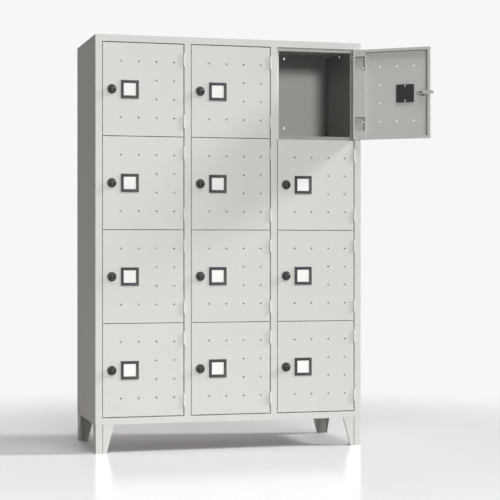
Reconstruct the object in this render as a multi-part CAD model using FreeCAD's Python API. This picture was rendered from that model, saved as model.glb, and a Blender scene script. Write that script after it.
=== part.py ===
import FreeCAD, Part
import math
import os

# Twelve-door perforated steel locker on legs: three columns of four equal
# compartments behind individually hinged doors with turn-knob cam locks.
# Millimetres. Origin on the floor under the centre of the footprint,
# front facing -Y, +Z up.  The door of the upper right compartment is stored
# standing open; all other doors are stored closed with their locks released.

V = FreeCAD.Vector

# ---- overall ---------------------------------------------------------------
WIDTH = 1200.0
DEPTH = 500.0
HEIGHT = 1800.0
SHEET = 1.0
LEG_HEIGHT = 125.0
COLUMNS = 3
ROWS = 4
COLUMN_NAMES = "abc"

# ---- front frame -----------------------------------------------------------
PITCH_X = 390.0            # column to column
STILE_WIDTH = 29.5         # outer left stile and both mullions
TOP_RAIL = 30.0
BOTTOM_RAIL = 28.0
FRAME_DEPTH = 21.0         # folded return behind the front face
STOP_WIDTH = 13.5          # door stop lip standing into the opening
STOP_Y0 = FRAME_DEPTH
PARTITION_SET = 8.0        # partition sheet, from the mullion's left edge

# ---- doors -----------------------------------------------------------------
GAP_LOCK = 2.5
GAP_HINGE = 4.0
GAP_TOP = 4.0
GAP_ROW = 3.0
DOOR_WIDTH = PITCH_X - STILE_WIDTH - GAP_LOCK - GAP_HINGE
DOOR_HEIGHT = 400.0
DOOR_DEPTH = 20.0
DOOR_LIP = 12.0
OPEN_ANGLE = 143.0
OPEN_DOOR = ("c", 1)

STIFFENER_WIDTH = 56.0
POCKET_WIDTH = 46.0
POCKET_HEIGHT = 60.0
POCKET_FEET = (40.0, 310.0)    # lower edges of the openings behind the hinges
VENT_R = 3.3
VENT_PITCH_X = 78.0
VENT_PITCH_Z = 80.8
VENT_X0 = 78.5

# ---- hinges ----------------------------------------------------------------
AXIS_X = DOOR_WIDTH + GAP_HINGE / 2
AXIS_Y = -1.0
BARREL_R = 4.0
PIN_R = 2.5
BORE_R = 2.55
KNUCKLE = 27.0
KNUCKLE_GAP = 0.6
HINGE_Z = (39.0, DOOR_HEIGHT - 39.0 - 2 * KNUCKLE - KNUCKLE_GAP)
NOTCH_CLEAR = 0.5

# ---- label holder ----------------------------------------------------------
LABEL_X = VENT_X0 + VENT_PITCH_X / 2
LABEL_SIZE = 79.0
LABEL_WINDOW = 53.0
LABEL_PROUD = 3.0
LABEL_CUT = 62.0
LABEL_BACK = 8.0

# ---- lock ------------------------------------------------------------------
LOCK_X = 39.0
BEZEL_R = 20.3
BEZEL_T = 3.0
BARREL_LOCK_R = 9.5
NUT_R = 13.5
NUT_T = 5.0
HOUSING_END = 22.0
SPINDLE_R = 6.0
SPINDLE_BORE_R = 6.05
KNOB_R = 17.0
KNOB_T = 6.0
WING_T = 7.0
WING_PROUD = 10.0
CAM_Y = 24.0
CAM_T = 3.0
CAM_LENGTH = 56.0
CAM_HEAD_R = 10.0
CAM_TIP_HALF = 7.0
SCREW_R = 4.5
SCREW_T = 3.5

# ---- shelves and base ------------------------------------------------------
SHELF_RISE = 16.0          # shelf surface above the line between two doors
EDGE_DROP = 29.0
EDGE_RETURN = 12.0
EDGE_Y0 = FRAME_DEPTH + SHEET

# ---- legs ------------------------------------------------------------------
LEG_SHEET = 2.0
LEG_POST = 30.0
LEG_SEAM = 1.5
LEG_TOP = 82.0
LEG_FOOT = 49.0
LEG_SIDE_TOP = 78.0
LEG_SIDE_FOOT = 18.0
LEG_LAP = 14.0
PAD_DEPTH = 44.0
ANCHOR_R = 5.0
ANCHOR_X = 27.0
ANCHOR_Y = 25.0

# ---- holes in the shell ----------------------------------------------------
SLOT_WIDTH = 6.0
SLOT_LENGTH = 14.0
SLOT_TOP_Z = 1784.0
SLOT_ABOVE_LINE = 88.5
TIE_R = 5.0
TIE_Y = 50.0
TIE_Z = (229.0, 1774.0)

FRONT = -DEPTH / 2
LEFT = -WIDTH / 2
CARCASS_Z = LEG_HEIGHT
FRAME_BOTTOM = LEG_HEIGHT + BOTTOM_RAIL
FRAME_TOP = HEIGHT - TOP_RAIL


def box(x0, x1, y0, y1, z0, z1):
    return Part.makeBox(x1 - x0, y1 - y0, z1 - z0, V(x0, y0, z0))


def cyl(r, length, at, along):
    return Part.makeCylinder(r, length, at, along)


def prism(points, y0, thickness):
    """Flat plate standing in the XZ plane: outline points (x, z), from y0 back."""
    wire = Part.makePolygon([V(x, y0, z) for x, z in points + points[:1]])
    return Part.Face(wire).extrude(V(0, thickness, 0))


def write(name, shapes):
    shape = shapes[0] if len(shapes) == 1 else Part.makeCompound(shapes)
    shape.exportStep("parts/" + name + ".step")


def in_place(x0, x1, y0, y1, z0, z1):
    """Box given from the cabinet's left side, its front face and the floor."""
    return box(LEFT + x0, LEFT + x1, FRONT + y0, FRONT + y1, z0, z1)


def door_origin(column, row):
    """Lower left corner of a door's outer face, row 1 at the top."""
    x = LEFT + STILE_WIDTH + GAP_LOCK + column * PITCH_X
    z = FRAME_TOP - GAP_TOP - row * DOOR_HEIGHT - (row - 1) * GAP_ROW
    return V(x, FRONT, z)


def door_line(row):
    """Height of the line between door row and the one under it."""
    return door_origin(0, row).z - GAP_ROW / 2


def column_inside(column):
    """Clear space between the two walls of a column, from the left side."""
    left = SHEET if column == 0 else column * PITCH_X + PARTITION_SET + SHEET
    last = column == COLUMNS - 1
    right = WIDTH - SHEET if last else (column + 1) * PITCH_X + PARTITION_SET
    return left, right


# ---- hinge: a fixed lower knuckle with its pin, and the tube on the door ---
def fixed_knuckle(z):
    at = V(AXIS_X, AXIS_Y, z)
    barrel = cyl(BARREL_R, KNUCKLE, at, V(0, 0, 1))
    pin = cyl(PIN_R, 2 * KNUCKLE + KNUCKLE_GAP - 2, at, V(0, 0, 1))
    return barrel.fuse(pin).removeSplitter()


def door_tube(z):
    base = z + KNUCKLE + KNUCKLE_GAP
    return cyl(BARREL_R, KNUCKLE, V(AXIS_X, AXIS_Y, base), V(0, 0, 1))


def tube_bore(z):
    base = z + KNUCKLE + KNUCKLE_GAP - 1
    return cyl(BORE_R, KNUCKLE + 2, V(AXIS_X, AXIS_Y, base), V(0, 0, 1))


def knuckle_room(z):
    """Space cut out of the door round the fixed knuckle."""
    r = BARREL_R + NOTCH_CLEAR
    length = KNUCKLE + KNUCKLE_GAP + 1
    return cyl(r, length, V(AXIS_X, AXIS_Y, z - 1), V(0, 0, 1))


def tube_room(z):
    """Space cut out of the frame round the turning tube."""
    r = BARREL_R + NOTCH_CLEAR
    base = z + KNUCKLE
    return cyl(r, KNUCKLE + KNUCKLE_GAP + 1, V(AXIS_X, AXIS_Y, base), V(0, 0, 1))


# ---- door leaf: folded tray with a pocketed hinge-side stiffener -----------
def vent_positions():
    """Twelve vents: a four by four grid less the two by two by the label."""
    first_z = (DOOR_HEIGHT - (ROWS - 1) * VENT_PITCH_Z) / 2
    for i in range(4):
        for j in range(4):
            if i < 2 and j in (1, 2):
                continue
            yield VENT_X0 + i * VENT_PITCH_X, first_z + j * VENT_PITCH_Z


def door_leaf():
    w, h, d, t = DOOR_WIDTH, DOOR_HEIGHT, DOOR_DEPTH, SHEET
    mid = h / 2
    shell = box(0, w, 0, d, 0, h)
    front_edges = [e for e in shell.Edges if abs(e.CenterOfMass.y) < 1e-6]
    shell = shell.makeFillet(1.2, front_edges)
    shell = shell.cut(box(t, w - t, t, d - t, t, h - t))
    mouth = box(DOOR_LIP, w - STIFFENER_WIDTH, d - 2 * t, d + 1, DOOR_LIP, h - DOOR_LIP)
    shell = shell.cut(mouth)
    rib = box(w - STIFFENER_WIDTH, w - STIFFENER_WIDTH + t, t, d, t, h - t)
    shell = shell.fuse(rib)
    pocket_x = w - STIFFENER_WIDTH + t
    for z in POCKET_FEET:
        room = box(pocket_x, pocket_x + POCKET_WIDTH, d - 2 * t, d + 1, z, z + POCKET_HEIGHT)
        shell = shell.cut(room)
    for x, z in vent_positions():
        shell = shell.cut(cyl(VENT_R, 3, V(x, -1, z), V(0, 1, 0)))
    for z in (16, h - 16):
        shell = shell.cut(cyl(2.5, 4, V(w - 31, d - 3, z), V(0, 1, 0)))
    for z in (130, h - 113):
        shell = shell.cut(cyl(2, 4, V(w - 3, 12, z), V(1, 0, 0)))
    half = LABEL_CUT / 2
    shell = shell.cut(box(LABEL_X - half, LABEL_X + half, -1, 2, mid - half, mid + half))
    shell = shell.cut(cyl(BARREL_LOCK_R, 3, V(LOCK_X, -1, mid), V(0, 1, 0)))
    for z in HINGE_Z:
        shell = shell.fuse(door_tube(z))
    for z in HINGE_Z:
        shell = shell.cut(knuckle_room(z)).cut(tube_bore(z))
    return shell.removeSplitter()


# ---- label holder: a square frame through the door, clipped from behind ----
def label_holder():
    mid = DOOR_HEIGHT / 2
    half, cut, win = LABEL_SIZE / 2, LABEL_CUT / 2, LABEL_WINDOW / 2
    frame = box(LABEL_X - half, LABEL_X + half, -LABEL_PROUD, 0, mid - half, mid + half)
    front_edges = [e for e in frame.Edges if abs(e.CenterOfMass.y + LABEL_PROUD) < 1e-6]
    frame = frame.makeFillet(1.0, front_edges)
    plug = box(LABEL_X - cut, LABEL_X + cut, 0, SHEET, mid - cut, mid + cut)
    back_y = SHEET + LABEL_BACK
    back = box(LABEL_X - half, LABEL_X + half, SHEET, back_y, mid - half, mid + half)
    window = box(LABEL_X - win, LABEL_X + win, -LABEL_PROUD - 1, 0, mid - win, mid + win)
    frame = frame.cut(window).fuse(plug).fuse(back)
    card = box(LABEL_X - win, LABEL_X + win, -0.8, 0, mid - win, mid + win)
    clips = [box(LABEL_X - 2.5, LABEL_X + 2.5, back_y, back_y + 1.5, z, z + 9)
             for z in (mid - half + 2, mid + half - 11)]
    return [frame.removeSplitter(), card] + clips


# ---- lock: a fixed bezel and barrel, and the rotor carrying the cam --------
def lock_housing():
    mid = DOOR_HEIGHT / 2
    y_dir = V(0, 1, 0)
    bezel = cyl(BEZEL_R, BEZEL_T, V(LOCK_X, -BEZEL_T, mid), y_dir)
    rim = [e for e in bezel.Edges if abs(e.CenterOfMass.y + BEZEL_T) < 1e-6]
    bezel = bezel.makeFillet(1.2, rim)
    barrel = cyl(BARREL_LOCK_R, HOUSING_END, V(LOCK_X, 0, mid), y_dir)
    nut_points = []
    for k in range(7):
        a = math.radians(60 * k)
        nut_points.append(V(LOCK_X + NUT_R * math.cos(a), SHEET, mid + NUT_R * math.sin(a)))
    nut = Part.Face(Part.makePolygon(nut_points)).extrude(V(0, NUT_T, 0))
    bore = cyl(SPINDLE_BORE_R, 40, V(LOCK_X, -10, mid), y_dir)
    return bezel.fuse(barrel).fuse(nut).cut(bore).removeSplitter()


def lock_knob(turn):
    """Round knob with a finger wing; the wing stands upright when turn is 0."""
    mid = DOOR_HEIGHT / 2
    face = -BEZEL_T - 0.4
    y_dir = V(0, 1, 0)
    disc = cyl(KNOB_R, KNOB_T, V(LOCK_X, face - KNOB_T, mid), y_dir)
    rim = [e for e in disc.Edges if abs(e.CenterOfMass.y - face + KNOB_T) < 1e-6]
    disc = disc.makeFillet(2.5, rim)
    dome_r, ball = 12.5, 30.0
    sink = math.sqrt(ball * ball - dome_r * dome_r)
    dome = Part.makeSphere(ball, V(LOCK_X, face - KNOB_T + sink, mid))
    dome = dome.common(cyl(dome_r, 10, V(LOCK_X, face - KNOB_T - 9, mid), y_dir))
    wing_y = face - WING_PROUD
    wing = box(LOCK_X - WING_T / 2, LOCK_X + WING_T / 2, wing_y, face - 0.5,
               mid - KNOB_R, mid + KNOB_R)
    limit = cyl(KNOB_R, 30, V(LOCK_X, -25, mid), y_dir)
    wing = wing.common(limit)
    top = [e for e in wing.Edges if abs(e.CenterOfMass.y - wing_y) < 1e-6]
    wing = wing.makeFillet(1.5, top)
    spindle = cyl(SPINDLE_R, CAM_Y - face, V(LOCK_X, face, mid), y_dir)
    stub = box(LOCK_X - 3.5, LOCK_X + 3.5, CAM_Y, CAM_Y + CAM_T, mid - 3.5, mid + 3.5)
    knob = disc.fuse(dome).fuse(wing).fuse(spindle).fuse(stub).removeSplitter()
    knob.rotate(V(LOCK_X, 0, mid), y_dir, turn)
    return knob


def lock_cam(turn):
    """Cam lever and its screw; the lever hangs down when turn is 0."""
    mid = DOOR_HEIGHT / 2
    y_dir = V(0, 1, 0)
    head = cyl(CAM_HEAD_R, CAM_T, V(LOCK_X, CAM_Y, mid), y_dir)
    tip_z = mid - CAM_LENGTH
    half = CAM_TIP_HALF
    arm = prism([(LOCK_X - CAM_HEAD_R, mid), (LOCK_X - half, mid - 22),
                 (LOCK_X - half, tip_z + 3), (LOCK_X - half + 3, tip_z),
                 (LOCK_X + half - 3, tip_z), (LOCK_X + half, tip_z + 3),
                 (LOCK_X + half, mid - 22), (LOCK_X + CAM_HEAD_R, mid)], CAM_Y, CAM_T)
    socket = box(LOCK_X - 3.5, LOCK_X + 3.5, CAM_Y - 1, CAM_Y + CAM_T + 1, mid - 3.5, mid + 3.5)
    lever = head.fuse(arm).cut(socket).removeSplitter()
    lever.rotate(V(LOCK_X, 0, mid), y_dir, turn)
    screw = cyl(SCREW_R, SCREW_T, V(LOCK_X, CAM_Y + CAM_T, mid), y_dir)
    drive = cyl(1.8, 2, V(LOCK_X, CAM_Y + CAM_T + SCREW_T - 2, mid), y_dir)
    return [lever, screw.cut(drive)]


def build_doors():
    leaf = door_leaf()
    label = label_holder()
    housing = lock_housing()
    for column in range(COLUMNS):
        for row in range(1, ROWS + 1):
            name = COLUMN_NAMES[column] + str(row)
            is_open = (COLUMN_NAMES[column], row) == OPEN_DOOR
            turn = 90 if is_open else 0
            rotor = [lock_knob(turn)] + lock_cam(turn)
            pieces = {"door_leaf_": [leaf], "label_holder_": label,
                      "lock_housing_": [housing], "lock_rotor_": rotor}
            for prefix, shapes in pieces.items():
                placed = []
                for shape in shapes:
                    item = shape.copy()
                    if is_open:
                        item.rotate(V(AXIS_X, AXIS_Y, 0), V(0, 0, 1), OPEN_ANGLE)
                    item.translate(door_origin(column, row))
                    placed.append(item)
                write(prefix + name, placed)


# ---- front frame: outer stiles, mullions, rails and the door stop lips -----
def front_frame():
    t, d = SHEET, FRAME_DEPTH
    solids = []
    left = in_place(0, STILE_WIDTH, 0, t, CARCASS_Z, HEIGHT)
    left = left.fuse(in_place(STILE_WIDTH - t, STILE_WIDTH, 0, d, FRAME_BOTTOM, FRAME_TOP))
    solids.append(left.removeSplitter())
    right_x = COLUMNS * PITCH_X
    right = in_place(right_x, WIDTH, 0, t, CARCASS_Z, HEIGHT)
    right = right.fuse(in_place(right_x, right_x + t, 0, d, FRAME_BOTTOM, FRAME_TOP))
    solids.append(right.removeSplitter())
    for k in range(1, COLUMNS):
        x0 = k * PITCH_X
        x1 = x0 + STILE_WIDTH
        mullion = in_place(x0, x1, 0, t, FRAME_BOTTOM, FRAME_TOP)
        mullion = mullion.fuse(in_place(x0, x0 + t, 0, d, FRAME_BOTTOM, FRAME_TOP))
        mullion = mullion.fuse(in_place(x1 - t, x1, 0, d, FRAME_BOTTOM, FRAME_TOP))
        solids.append(mullion.removeSplitter())
    top = in_place(STILE_WIDTH, right_x, 0, t, FRAME_TOP, HEIGHT)
    top = top.fuse(in_place(STILE_WIDTH, right_x, 0, d, FRAME_TOP, FRAME_TOP + t))
    bottom = in_place(STILE_WIDTH, right_x, 0, t, CARCASS_Z, FRAME_BOTTOM)
    bottom = bottom.fuse(
        in_place(STILE_WIDTH, right_x, 0, d + t, FRAME_BOTTOM - t, FRAME_BOTTOM))
    solids += [top.removeSplitter(), bottom.removeSplitter()]
    notched = []
    for solid in solids:
        for column in range(COLUMNS):
            for row in range(1, ROWS + 1):
                at = door_origin(column, row)
                for z in HINGE_Z:
                    lower = cyl(BARREL_R, KNUCKLE, V(AXIS_X, AXIS_Y, z), V(0, 0, 1))
                    for tool in (lower, tube_room(z)):
                        tool.translate(at)
                        if solid.BoundBox.intersect(tool.BoundBox):
                            solid = solid.cut(tool)
        notched.append(solid)
    lips = []
    for column in range(COLUMNS):
        x0 = column * PITCH_X + STILE_WIDTH - t
        x1 = (column + 1) * PITCH_X + t
        head_z = FRAME_TOP - STOP_WIDTH
        lips.append(in_place(x0, x0 + t + STOP_WIDTH, d, d + t, FRAME_BOTTOM, head_z))
        lips.append(in_place(x1 - t - STOP_WIDTH, x1, d, d + t, FRAME_BOTTOM, head_z))
        lips.append(in_place(x0, x1, d, d + t, head_z, FRAME_TOP + t))
    return notched + lips


def hinge_knuckles():
    shapes = []
    for column in range(COLUMNS):
        for row in range(1, ROWS + 1):
            for z in HINGE_Z:
                knuckle = fixed_knuckle(z)
                knuckle.translate(door_origin(column, row))
                shapes.append(knuckle)
    return shapes


# ---- shell: sides, top, back and base --------------------------------------
def side_panel(x0):
    panel = in_place(x0, x0 + SHEET, SHEET, DEPTH - SHEET, CARCASS_Z, HEIGHT - SHEET)
    for z in TIE_Z:
        panel = panel.cut(cyl(TIE_R, 4, V(LEFT + x0 - 1, TIE_Y, z), V(1, 0, 0)))
    return panel


def slot_tool(x, z):
    """Upright round-ended slot through the back panel."""
    r = SLOT_WIDTH / 2
    reach = SLOT_LENGTH / 2 - r
    y = -FRONT - 2 * SHEET
    tool = box(x - r, x + r, y, y + 4, z - reach, z + reach)
    for end in (z - reach, z + reach):
        tool = tool.fuse(cyl(r, 4, V(x, y, end), V(0, 1, 0)))
    return tool.removeSplitter()


def back_panel():
    panel = in_place(0, WIDTH, DEPTH - SHEET, DEPTH, CARCASS_Z, HEIGHT - SHEET)
    for column in range(COLUMNS):
        x = door_origin(column, 1).x + DOOR_WIDTH / 2
        heights = [SLOT_TOP_Z]
        for row in range(1, ROWS + 1):
            heights.append(door_line(row) + SLOT_ABOVE_LINE)
        for z in heights:
            panel = panel.cut(slot_tool(x, z))
    return panel


def front_edge(x0, x1, top_z):
    """Folded front edge under a shelf: a face with a short return."""
    y0 = EDGE_Y0
    face = in_place(x0, x1, y0, y0 + SHEET, top_z - EDGE_DROP, top_z)
    foot = in_place(x0, x1, y0, y0 + EDGE_RETURN, top_z - EDGE_DROP, top_z - EDGE_DROP + SHEET)
    return face.fuse(foot).removeSplitter()


def base_panel():
    top = FRAME_BOTTOM + SHELF_RISE
    sheet = in_place(SHEET, WIDTH - SHEET, EDGE_Y0, DEPTH - SHEET, top - SHEET, top)
    return [sheet, front_edge(SHEET, WIDTH - SHEET, top - SHEET)]


def partition(k):
    x0 = k * PITCH_X + PARTITION_SET
    z0 = FRAME_BOTTOM + SHELF_RISE
    tall = in_place(x0, x0 + SHEET, EDGE_Y0, DEPTH - SHEET, z0, HEIGHT - SHEET)
    nose = in_place(x0, x0 + SHEET, SHEET, EDGE_Y0, FRAME_BOTTOM, FRAME_TOP)
    return tall.fuse(nose).removeSplitter()


def shelves():
    shapes = []
    for column in range(COLUMNS):
        x0, x1 = column_inside(column)
        for row in range(1, ROWS):
            top = door_line(row) + SHELF_RISE
            shapes.append(in_place(x0, x1, EDGE_Y0, DEPTH - SHEET, top - SHEET, top))
            shapes.append(front_edge(x0, x1, top - SHEET))
    return shapes


# ---- legs: folded corner posts with gussets on drilled foot plates ---------
def leg():
    """Leg at the front left corner, its corner at the cabinet's corner."""
    t, s = SHEET, LEG_SHEET
    top = LEG_HEIGHT + LEG_LAP
    front = box(t, t + LEG_POST, t, t + s, s, top)
    side_points = [(t, s), (LEG_SIDE_FOOT, s), (LEG_SIDE_TOP, LEG_HEIGHT),
                   (LEG_SIDE_TOP, top), (t, top)]
    wire = Part.makePolygon([V(t, y, z) for y, z in side_points + side_points[:1]])
    side = Part.Face(wire).extrude(V(s, 0, 0))
    post = front.fuse(side).removeSplitter()
    seam = t + LEG_POST + LEG_SEAM
    gusset = prism([(seam, s), (LEG_FOOT, s), (LEG_TOP, LEG_HEIGHT),
                    (LEG_TOP, top), (seam, top)], t, s)
    pad = box(t, LEG_FOOT, t, PAD_DEPTH, 0, s)
    pad = pad.cut(cyl(ANCHOR_R, s + 2, V(ANCHOR_X, ANCHOR_Y, -1), V(0, 0, 1)))
    return [post, gusset, pad]


def legs():
    shapes = []
    for mirror_x in (False, True):
        for mirror_y in (False, True):
            for shape in leg():
                shape.translate(V(LEFT, FRONT, 0))
                if mirror_x:
                    shape = shape.mirror(V(0, 0, 0), V(1, 0, 0))
                if mirror_y:
                    shape = shape.mirror(V(0, 0, 0), V(0, 1, 0))
                shapes.append(shape)
    return shapes


def main():
    os.makedirs("parts", exist_ok=True)
    write("side_panel_left", [side_panel(0)])
    write("side_panel_right", [side_panel(WIDTH - SHEET)])
    write("top_panel", [in_place(0, WIDTH, SHEET, DEPTH, HEIGHT - SHEET, HEIGHT)])
    write("back_panel", [back_panel()])
    write("base_panel", base_panel())
    write("partition_left", [partition(1)])
    write("partition_right", [partition(2)])
    write("shelves", shelves())
    write("front_frame", front_frame())
    write("hinge_knuckles", hinge_knuckles())
    write("legs", legs())
    build_doors()


main()
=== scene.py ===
import math
import bmesh
import bpy
from mathutils import Matrix, Vector


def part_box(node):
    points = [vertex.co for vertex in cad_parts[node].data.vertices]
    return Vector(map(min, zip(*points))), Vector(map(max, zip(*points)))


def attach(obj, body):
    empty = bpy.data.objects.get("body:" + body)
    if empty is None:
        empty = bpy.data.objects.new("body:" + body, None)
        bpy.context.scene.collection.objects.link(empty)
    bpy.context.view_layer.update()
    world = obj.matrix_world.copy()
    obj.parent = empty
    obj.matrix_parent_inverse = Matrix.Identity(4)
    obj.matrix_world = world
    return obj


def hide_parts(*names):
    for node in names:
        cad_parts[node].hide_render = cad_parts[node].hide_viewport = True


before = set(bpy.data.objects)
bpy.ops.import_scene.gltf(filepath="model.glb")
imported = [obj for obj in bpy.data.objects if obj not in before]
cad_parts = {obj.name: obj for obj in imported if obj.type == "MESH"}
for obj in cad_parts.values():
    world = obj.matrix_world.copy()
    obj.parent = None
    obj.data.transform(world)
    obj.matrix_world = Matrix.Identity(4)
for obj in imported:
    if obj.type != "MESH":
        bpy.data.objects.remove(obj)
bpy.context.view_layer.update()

# ---------------------------------------------------------------------------
# Camera.  Stands in front and to the left of the cabinet at half its height,
# with a long lens, level, so that upright edges stay upright.
camera = bpy.data.objects.new("camera", bpy.data.cameras.new("camera"))
camera.location = (-1.6957, -6.8020, 0.8792)
camera.rotation_euler = (math.radians(90), 0, math.radians(-15.208))
camera.data.lens = 111.25
camera.data.sensor_width = 36
camera.data.shift_y = -0.0023
bpy.context.scene.collection.objects.link(camera)
bpy.context.scene.camera = camera


# ---------------------------------------------------------------------------
# Front frame.  One millimetre steel sheet with three tall openings, welded
# into one face: every opening is folded back and then inwards into the lip
# that the doors close against.  Notches in the folds leave room for hinges.
MM = 0.001
NEAR = 1e-6     # metres: places closer than this are the same place
SHEET = 1.0
CABINET_WIDTH, CABINET_DEPTH, CABINET_TOP, CABINET_FOOT = 1200, 500, 1800, 125
COLUMN_PITCH, OPENING_LEFT, OPENING_RIGHT = 390, 29.5, 390
OPENING_FOOT, OPENING_TOP = 153, 1770
RETURN_DEPTH, STOP_LIP, OUTER_FOLD = 21, 13.5, 10
DOOR_NAMES = [column + row for column in "abc" for row in "1234"]
HINGE_FEET = (39.0, 306.4)
HINGE_AXIS = (356.0, -1.0)
KNUCKLE, KNUCKLE_GAP = 27.0, 0.6
NOTCH_WIDTH, NOTCH_DEPTH, NOTCH_BELOW, NOTCH_ABOVE = 4.6, 4, 0.2, 0.6
DOOR_LEFT, ROW_TOP, ROW_PITCH = 32, 1769, 403
FOLD_ANGLE, SHARP_ANGLE = 50, 42
PORE_SCALE, GRAIN_SHARE = 0.31, 0.6
frame_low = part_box("front_frame")[0]


def at(x, depth, z):
    """A place in millimetres from the cabinet's left side, front and floor."""
    return Vector((frame_low.x + x * MM, frame_low.y + depth * MM, z * MM))


def door_corner(name):
    """Lower left corner of a door's outer face, in the cabinet's millimetres."""
    column, row = "abc".index(name[0]), int(name[1])
    return DOOR_LEFT + COLUMN_PITCH * column, 0, ROW_TOP - ROW_PITCH * row


def blank(*corners):
    """A flat blank of sheet, painted side towards the reader of its corners."""
    bm = bmesh.new()
    bm.faces.new([bm.verts.new(corner) for corner in corners])
    return bm


def scribe(bm, axis, places):
    """Mark straight lines right across the sheet, at right angles to an axis."""
    square = Vector([float(k == axis) for k in range(3)])
    for place in places:
        bmesh.ops.bisect_plane(bm, geom=bm.verts[:] + bm.edges[:] + bm.faces[:],
                               dist=NEAR, plane_co=square * place, plane_no=square)


def inside(centre, low, high):
    """Whether a place lies in a box."""
    return all(low[k] - NEAR < centre[k] < high[k] + NEAR for k in range(3))


def nibble(bm, low, high):
    """Take out the scribed pieces of sheet inside a box."""
    gone = [f for f in bm.faces if inside(f.calc_center_bounds(), low, high)]
    bmesh.ops.delete(bm, geom=gone, context="FACES")


def rim(bm, low, high):
    """Open edges of the sheet that lie wholly inside a box."""
    return [e for e in bm.edges if e.is_boundary
            and all(inside(v.co, low, high) for v in e.verts)]


def fold(bm, edges, shift):
    """Fold on a strip of sheet from open edges; shift gives each corner's way."""
    made = bmesh.ops.extrude_edge_only(bm, edges=edges)["geom"]
    for vert in (g for g in made if isinstance(g, bmesh.types.BMVert)):
        vert.co += Vector(shift(vert.co)) * MM
    bm.normal_update()


def paint_side(bm, way):
    """Turn the painted side out: the largest face looks the given way."""
    bmesh.ops.remove_doubles(bm, verts=bm.verts[:], dist=NEAR)
    bmesh.ops.recalc_face_normals(bm, faces=bm.faces[:])
    largest = max(bm.faces, key=lambda f: f.calc_area())
    if largest.normal.dot(Vector(way)) < 0:
        bmesh.ops.reverse_faces(bm, faces=bm.faces[:])


def round_folds(bm, radius, steps=3):
    """Bend radius on every fold of the sheet."""
    folds = [e for e in bm.edges if len(e.link_faces) == 2
             and e.calc_face_angle() > math.radians(FOLD_ANGLE)]
    bmesh.ops.bevel(bm, geom=folds, offset=radius * MM, offset_type="OFFSET",
                    segments=steps, profile=0.5, affect="EDGES", material=-1,
                    clamp_overlap=False)


def give_wall(bm, thickness=SHEET):
    """Thicken the folded blank inwards to its real sheet."""
    mesh = bpy.data.meshes.new("blank")
    bm.to_mesh(mesh)
    bm.free()
    thin = bpy.data.objects.new("blank", mesh)
    bpy.context.scene.collection.objects.link(thin)
    wall = thin.modifiers.new("wall", "SOLIDIFY")
    wall.thickness, wall.offset, wall.use_even_offset = thickness * MM, -1, True
    thick = bmesh.new()
    thick.from_object(thin, bpy.context.evaluated_depsgraph_get())
    bpy.data.objects.remove(thin)
    bpy.data.meshes.remove(mesh)
    return thick


def finished_mesh(name, bm):
    """Mesh with smooth bends and crisp cut edges."""
    mesh = bpy.data.meshes.new(name)
    bm.to_mesh(mesh)
    bm.free()
    mesh.shade_smooth()
    mesh.set_sharp_from_angle(angle=math.radians(SHARP_ANGLE))
    return mesh


def add_piece(name, mesh, finish, body, stands_for):
    """Put a finished mesh on its body, in its finish, in place of a CAD node."""
    piece = bpy.data.objects.new(name, mesh)
    bpy.context.scene.collection.objects.link(piece)
    mesh.materials.clear()
    mesh.materials.append(finish)
    even = piece.modifiers.new("even shading", "WEIGHTED_NORMAL")
    even.keep_sharp = True
    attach(piece, body)
    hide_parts(stands_for)
    return piece


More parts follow.
